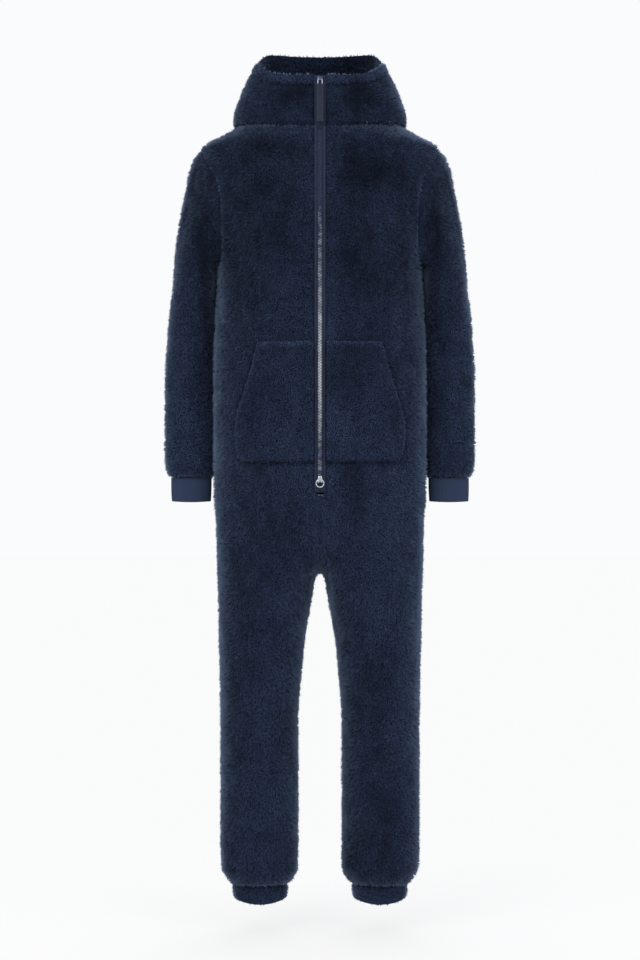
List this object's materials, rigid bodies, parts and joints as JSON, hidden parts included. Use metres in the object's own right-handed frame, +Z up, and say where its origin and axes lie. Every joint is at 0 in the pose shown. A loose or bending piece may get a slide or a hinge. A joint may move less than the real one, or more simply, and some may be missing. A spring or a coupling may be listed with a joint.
{
  "type": "onesie pajama",
  "caption": "Hooded teddy-fleece onesie pajama in its hollow, worn form, with a full front zip, split front pockets, knit wrist cuffs and gathered ankle cuffs.",
  "frame": {"origin": "inside the neck, level with the neck seam and midway between front and back", "axes": "+Z up the body, -Y the front, +X the wearer's left"},
  "size_m": [0.6158, 0.3775, 1.6937],
  "materials": {
    "fleece": "deep-pile teddy fleece, navy",
    "knit": "smooth fine knit, navy",
    "tape": "woven zip tape, navy",
    "metal": "bright nickel"
  },
  "bodies": {
    "root": {"front_left": "fleece", "front_right": "fleece", "back_left": "fleece", "back_right": "fleece", "sleeve_left": "fleece", "sleeve_right": "fleece", "hood_left": "fleece", "hood_right": "fleece", "pocket_left": "fleece", "pocket_right": "fleece", "ankle_cuff_left": "fleece", "ankle_cuff_right": "fleece", "wrist_cuff_left": "knit", "wrist_cuff_right": "knit", "zip_tape_left": "tape", "zip_tape_right": "tape", "zip_chain": "metal", "slider_upper": "metal", "slider_lower": "metal"},
    "upper_pull": {"pull_upper": "tape"},
    "lower_pull": {"pull_lower": "metal"}
  },
  "joints": [
    {"name": "upper_pull_swing", "type": "hinge", "parent": "root", "child": "upper_pull", "pos_m": [0, -0.11115, 0.067], "axis": [1, 0, 0], "range_deg": [-165, 0]},
    {"name": "lower_pull_swing", "type": "hinge", "parent": "root", "child": "lower_pull", "pos_m": [0, -0.14657, -0.708], "axis": [1, 0, 0], "range_deg": [-170, 0]}
  ]
}
